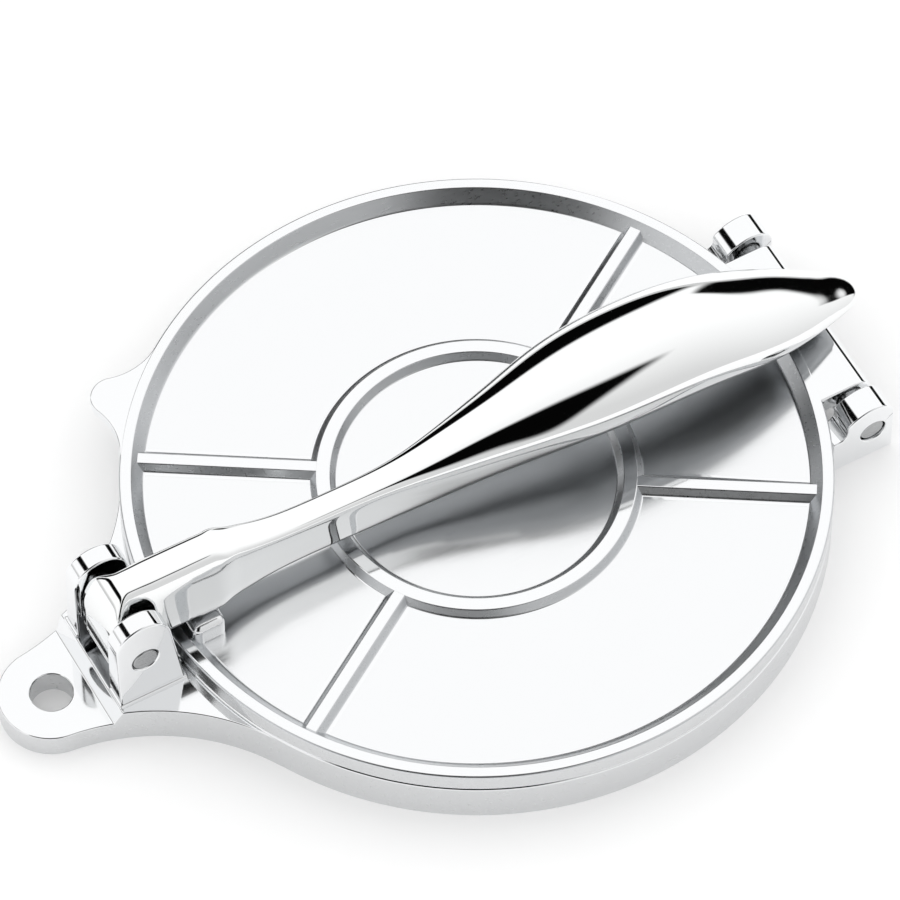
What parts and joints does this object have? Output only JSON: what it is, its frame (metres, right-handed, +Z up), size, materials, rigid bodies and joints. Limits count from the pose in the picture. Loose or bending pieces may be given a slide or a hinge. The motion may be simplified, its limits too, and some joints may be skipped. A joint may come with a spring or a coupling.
{
  "type": "tortilla press",
  "caption": "Hand tortilla press: two round cast plates hinged at the rear and pressed together by a long lever that pivots in ears at the front, with a hanging tab.",
  "frame": {"origin": "on the table, under the middle of the press's overall length and width, with the lever closed", "axes": "+Z up; -Y towards the hanging tab and the lever's pivot; +Y towards the plates' hinge and the grip; +X across"},
  "size_m": [0.165, 0.2248, 0.0427],
  "materials": {
    "cast_aluminium": "polished",
    "pin_steel": "satin"
  },
  "bodies": {
    "base": {"base_plate": "cast_aluminium", "lever_pin": "pin_steel", "hinge_pin": "pin_steel"},
    "plate": {"upper_plate": "cast_aluminium"},
    "arm": {"lever": "cast_aluminium"}
  },
  "joints": [
    {"name": "lever_pivot", "type": "hinge", "parent": "base", "child": "arm", "pos_m": [0, -0.0819, 0.0249], "axis": [1, 0, 0], "range_deg": [0, 180]},
    {"name": "plate_hinge", "type": "hinge", "parent": "base", "child": "plate", "pos_m": [0, 0.0989, 0.0095], "axis": [-1, 0, 0], "range_deg": [0, 18]}
  ],
  "couplings": [
    {"joint": "plate_hinge", "follows": "lever_pivot", "ratio": 0.1}
  ]
}
